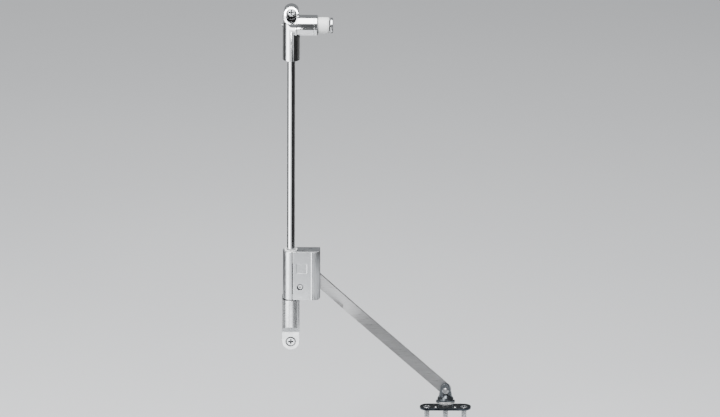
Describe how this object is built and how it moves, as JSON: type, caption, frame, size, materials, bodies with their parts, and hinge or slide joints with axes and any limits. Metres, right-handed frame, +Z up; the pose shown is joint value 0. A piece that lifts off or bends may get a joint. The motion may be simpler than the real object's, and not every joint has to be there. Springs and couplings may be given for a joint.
{
  "type": "flap friction stay",
  "caption": "Friction stay for a drop-down flap: brake sliding on a guide rod between two wall brackets, pivoting flat arm, clip-on flap foot and a magnetic catch.",
  "frame": {"origin": "centre of the lower fixing screw at the side panel's face", "axes": "+X to the cabinet's front, +Y into the side panel, +Z up along the guide rod"},
  "size_m": [0.1639, 0.033, 0.3787],
  "materials": {
    "rod_chrome": "polished hard chrome",
    "satin_diecast": "satin nickel on zinc die-casting",
    "bright_diecast": "polished chrome on zinc die-casting",
    "housing_nickel": "fine satin nickel",
    "screw_steel": "zinc plated",
    "arm_steel": "ground along its length, nickel plated",
    "spring_steel": "bright drawn",
    "nose_plastic": "fine satin moulded",
    "bush_plastic": "satin moulded",
    "clamp_plastic": "matt moulded",
    "lining": "pressed fibre",
    "magnet": "sintered ferrite",
    "pole_steel": "nickel plated steel",
    "eye_zinc": "grey nickel, satin",
    "black_nickel": "black nickel, glossy"
  },
  "bodies": {
    "rail": {"guide_rod": "rod_chrome", "foot_bracket": "satin_diecast", "lower_fixing_screw": "screw_steel", "top_bracket": "bright_diecast", "upper_fixing_screw": "screw_steel", "catch_barrel": "bright_diecast", "catch_screw": "screw_steel", "catch_spring": "spring_steel"},
    "catch_plunger": {"plunger_sleeve": "nose_plastic", "catch_magnet": "magnet", "pole_disc": "pole_steel"},
    "brake_slider": {"brake_housing": "housing_nickel", "front_cover": "housing_nickel", "cover_screws": "screw_steel", "upper_bush": "bush_plastic", "lower_bush": "bush_plastic", "friction_clamp": "clamp_plastic", "brake_lining": "lining", "clamp_nut": "screw_steel", "spring_washers": "spring_steel", "arm_pivot_pin": "screw_steel", "pivot_washers": "screw_steel", "pivot_circlip": "spring_steel"},
    "adjuster": {"adjusting_screw": "screw_steel"},
    "stay_arm": {"stay_arm": "arm_steel"},
    "flap_foot": {"hinge_eye": "eye_zinc", "eye_rivet": "screw_steel", "eye_washer": "screw_steel", "clip_body": "black_nickel", "clip_studs": "screw_steel", "clip_spring": "spring_steel", "base_plate": "black_nickel", "flap_screws": "screw_steel"}
  },
  "joints": [
    {"name": "brake_slide", "type": "slide", "parent": "rail", "child": "brake_slider", "axis": [0, 0, 1], "range_m": [0, 0.17]},
    {"name": "arm_hinge", "type": "hinge", "parent": "brake_slider", "child": "stay_arm", "pos_m": [0.017, -0.0085, 0.0644], "axis": [0, 1, 0], "range_deg": [-42.3, 47.7]},
    {"name": "foot_hinge", "type": "hinge", "parent": "stay_arm", "child": "flap_foot", "pos_m": [0.13357, -0.01, -0.04167], "axis": [0, -1, 0], "range_deg": [-42.3, 137.7]},
    {"name": "catch_push", "type": "slide", "parent": "rail", "child": "catch_plunger", "axis": [1, 0, 0], "range_m": [-0.003, 0], "stiffness_N_per_m": 400, "springref_m": 0.004, "deforming": ["catch_spring"]},
    {"name": "adjuster_turn", "type": "hinge", "parent": "brake_slider", "child": "adjuster", "pos_m": [0.00807, -0.0145, 0.0541], "axis": [0, -1, 0], "range_deg": [-180, 180]}
  ]
}
